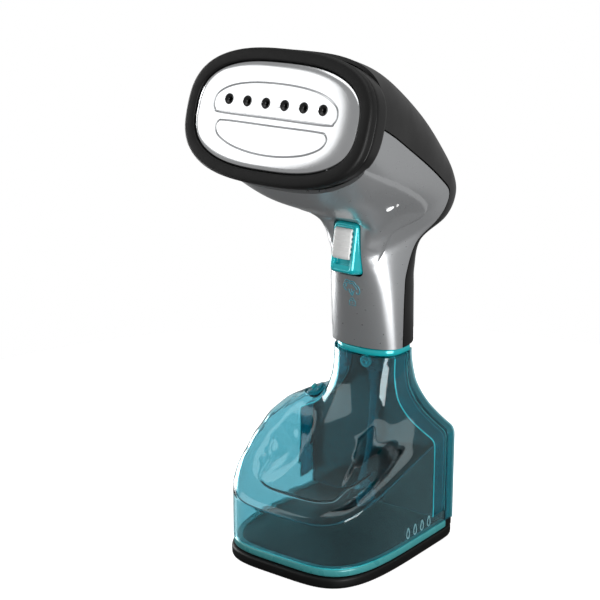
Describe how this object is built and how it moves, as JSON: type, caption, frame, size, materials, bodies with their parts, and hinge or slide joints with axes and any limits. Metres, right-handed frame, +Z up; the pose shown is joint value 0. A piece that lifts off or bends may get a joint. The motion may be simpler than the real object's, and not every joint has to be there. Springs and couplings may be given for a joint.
{
  "type": "garment steamer",
  "caption": "Hand-held garment steamer: angled steam head with a drilled plate, grip with trigger and lock, and a clear tank on a flat base.",
  "frame": {"origin": "under the middle of the steamer's box, on the surface that it stands on", "axes": "+Z up, -Y the way the steam plate faces, +X across the steamer"},
  "size_m": [0.119, 0.1641, 0.294],
  "materials": {
    "plate_metal": "polished",
    "head_black": "satin moulded",
    "cover_black": "semi gloss",
    "shell_silver": "metallic silver paint",
    "base_black": "satin moulded",
    "soft_black": "soft",
    "silicone_clear": "milky",
    "cast_metal": "as cast",
    "bright_steel": "bright",
    "nylon_white": "moulded",
    "coil_copper": "enamelled winding",
    "switch_black": "moulded",
    "board_green": "lacquered",
    "lens_white": "clear gloss",
    "trigger_teal": "gloss",
    "lock_white": "satin",
    "tank_clear_teal": "clear tinted",
    "trim_teal": "gloss tinted",
    "plug_teal": "soft",
    "button_black": "satin"
  },
  "bodies": {
    "handset": {"steam_plate": "plate_metal", "plate_bezel": "head_black", "head_collar": "head_black", "rear_cover": "cover_black", "back_panel": "cover_black", "front_shell": "shell_silver", "base_plate": "base_black", "channel_cover": "base_black", "base_pad": "soft_black", "cord_gland": "soft_black", "pump_mount_lower": "soft_black", "pump_mount_upper": "soft_black", "plate_seal": "silicone_clear", "inlet_hose": "silicone_clear", "outlet_hose": "silicone_clear", "boiler_body": "cast_metal", "boiler_lid": "cast_metal", "boiler_inlet": "cast_metal", "heating_element": "bright_steel", "thermostat": "bright_steel", "fuse_clamp": "bright_steel", "boiler_screw_1": "bright_steel", "boiler_screw_2": "bright_steel", "boiler_screw_3": "bright_steel", "boiler_screw_4": "bright_steel", "base_screw_1": "bright_steel", "base_screw_2": "bright_steel", "trigger_pin": "bright_steel", "trigger_spring": "bright_steel", "thermal_fuse": "nylon_white", "pump_barrel": "nylon_white", "trigger_bracket": "nylon_white", "tank_coupling": "nylon_white", "capacitor": "nylon_white", "pump_coil": "coil_copper", "microswitch": "switch_black", "relay": "switch_black", "control_board": "board_green", "ready_light_lens": "lens_white"},
    "switch_plunger": {"switch_plunger": "nylon_white"},
    "trigger": {"trigger": "trigger_teal"},
    "trigger_lock": {"trigger_lock": "lock_white"},
    "tank": {"tank_bowl": "tank_clear_teal", "tank_back_wall": "tank_clear_teal", "tank_floor": "trim_teal", "tank_collar": "trim_teal", "tank_outlet": "nylon_white", "intake_filter": "nylon_white", "intake_tube": "silicone_clear", "outlet_seal": "soft_black"},
    "fill_plug": {"fill_plug": "plug_teal"},
    "release_button": {"release_button": "button_black"}
  },
  "joints": [
    {"name": "trigger_press", "type": "hinge", "parent": "handset", "child": "trigger", "pos_m": [0, 0.0013, 0.1885], "axis": [1, 0, 0], "range_deg": [0, 5], "stiffness_Nm_per_rad": 0.6, "springref_deg": -3.44},
    {"name": "trigger_lock_slide", "type": "slide", "parent": "trigger", "child": "trigger_lock", "axis": [0, -0.1822, -0.9833], "range_m": [0, 0.0049]},
    {"name": "switch_plunger_slide", "type": "slide", "parent": "handset", "child": "switch_plunger", "axis": [0, 0.9833, -0.1822], "range_m": [0, 0.0018]},
    {"name": "tank_removal", "type": "slide", "parent": "handset", "child": "tank", "axis": [0, -1, 0], "range_m": [0, 0.12]},
    {"name": "fill_plug_pull", "type": "slide", "parent": "tank", "child": "fill_plug", "axis": [-0.557, -0.1823, 0.8102], "range_m": [0, 0.012]},
    {"name": "release_button_press", "type": "slide", "parent": "handset", "child": "release_button", "axis": [0, -1, 0], "range_m": [0, 0.002], "stiffness_N_per_m": 1200, "springref_m": -0.001}
  ],
  "couplings": [
    {"joint": "switch_plunger_slide", "follows": "trigger_press", "m_per_rad": 0.02}
  ]
}
